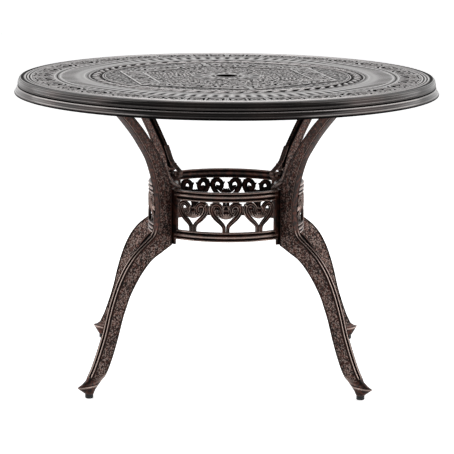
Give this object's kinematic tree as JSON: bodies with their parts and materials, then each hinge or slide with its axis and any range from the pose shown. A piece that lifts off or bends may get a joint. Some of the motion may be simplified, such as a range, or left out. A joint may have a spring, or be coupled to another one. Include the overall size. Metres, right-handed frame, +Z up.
{
  "type": "umbrella table",
  "caption": "Round cast garden dining table with a pierced scrollwork top, a moulded rim, a pole hole, curved legs, a heart-scroll stretcher ring and levelling glides.",
  "frame": {"origin": "on the floor under the middle of the tabletop", "axes": "+Z up; the picture looks along +Y; the legs stand on the diagonals"},
  "size_m": [1.0499, 1.05, 0.74],
  "materials": {
    "cast_bronze_finish": "antique bronze paint over cast aluminium, satin",
    "zinc_steel": "zinc-plated steel",
    "black_nylon": "moulded black nylon"
  },
  "bodies": {
    "table": {"tabletop": "cast_bronze_finish", "rim": "cast_bronze_finish", "umbrella_collar": "cast_bronze_finish", "leg_front_left": "cast_bronze_finish", "leg_pad_front_left": "cast_bronze_finish", "joint_plate_front_left": "cast_bronze_finish", "top_bolts_front_left": "zinc_steel", "top_washers_front_left": "zinc_steel", "ring_bolts_front_left": "zinc_steel", "ring_washers_front_left": "zinc_steel", "leg_front_right": "cast_bronze_finish", "leg_pad_front_right": "cast_bronze_finish", "joint_plate_front_right": "cast_bronze_finish", "top_bolts_front_right": "zinc_steel", "top_washers_front_right": "zinc_steel", "ring_bolts_front_right": "zinc_steel", "ring_washers_front_right": "zinc_steel", "leg_back_right": "cast_bronze_finish", "leg_pad_back_right": "cast_bronze_finish", "joint_plate_back_right": "cast_bronze_finish", "top_bolts_back_right": "zinc_steel", "top_washers_back_right": "zinc_steel", "ring_bolts_back_right": "zinc_steel", "ring_washers_back_right": "zinc_steel", "leg_back_left": "cast_bronze_finish", "leg_pad_back_left": "cast_bronze_finish", "joint_plate_back_left": "cast_bronze_finish", "top_bolts_back_left": "zinc_steel", "top_washers_back_left": "zinc_steel", "ring_bolts_back_left": "zinc_steel", "ring_washers_back_left": "zinc_steel", "ring_panel_front": "cast_bronze_finish", "ring_panel_right": "cast_bronze_finish", "ring_panel_back": "cast_bronze_finish", "ring_panel_left": "cast_bronze_finish"},
    "stud_front_left": {"glide_stud_front_left": "zinc_steel"},
    "foot_front_left": {"glide_foot_front_left": "black_nylon"},
    "stud_front_right": {"glide_stud_front_right": "zinc_steel"},
    "foot_front_right": {"glide_foot_front_right": "black_nylon"},
    "stud_back_right": {"glide_stud_back_right": "zinc_steel"},
    "foot_back_right": {"glide_foot_back_right": "black_nylon"},
    "stud_back_left": {"glide_stud_back_left": "zinc_steel"},
    "foot_back_left": {"glide_foot_back_left": "black_nylon"}
  },
  "joints": [
    {"name": "level_front_left", "type": "slide", "parent": "table", "child": "stud_front_left", "axis": [0, 0, -1], "range_m": [0, 0.01]},
    {"name": "turn_front_left", "type": "hinge", "parent": "stud_front_left", "child": "foot_front_left", "pos_m": [-0.32527, -0.32527, 0.005], "axis": [0, 0, 1], "range_deg": [0, 2880]},
    {"name": "level_front_right", "type": "slide", "parent": "table", "child": "stud_front_right", "axis": [0, 0, -1], "range_m": [0, 0.01]},
    {"name": "turn_front_right", "type": "hinge", "parent": "stud_front_right", "child": "foot_front_right", "pos_m": [0.32527, -0.32527, 0.005], "axis": [0, 0, 1], "range_deg": [0, 2880]},
    {"name": "level_back_right", "type": "slide", "parent": "table", "child": "stud_back_right", "axis": [0, 0, -1], "range_m": [0, 0.01]},
    {"name": "turn_back_right", "type": "hinge", "parent": "stud_back_right", "child": "foot_back_right", "pos_m": [0.32527, 0.32527, 0.005], "axis": [0, 0, 1], "range_deg": [0, 2880]},
    {"name": "level_back_left", "type": "slide", "parent": "table", "child": "stud_back_left", "axis": [0, 0, -1], "range_m": [0, 0.01]},
    {"name": "turn_back_left", "type": "hinge", "parent": "stud_back_left", "child": "foot_back_left", "pos_m": [-0.32527, 0.32527, 0.005], "axis": [0, 0, 1], "range_deg": [0, 2880]}
  ],
  "couplings": [
    {"joint": "level_front_left", "follows": "turn_front_left", "m_per_rad": 0.00019894},
    {"joint": "level_front_right", "follows": "turn_front_right", "m_per_rad": 0.00019894},
    {"joint": "level_back_right", "follows": "turn_back_right", "m_per_rad": 0.00019894},
    {"joint": "level_back_left", "follows": "turn_back_left", "m_per_rad": 0.00019894}
  ]
}
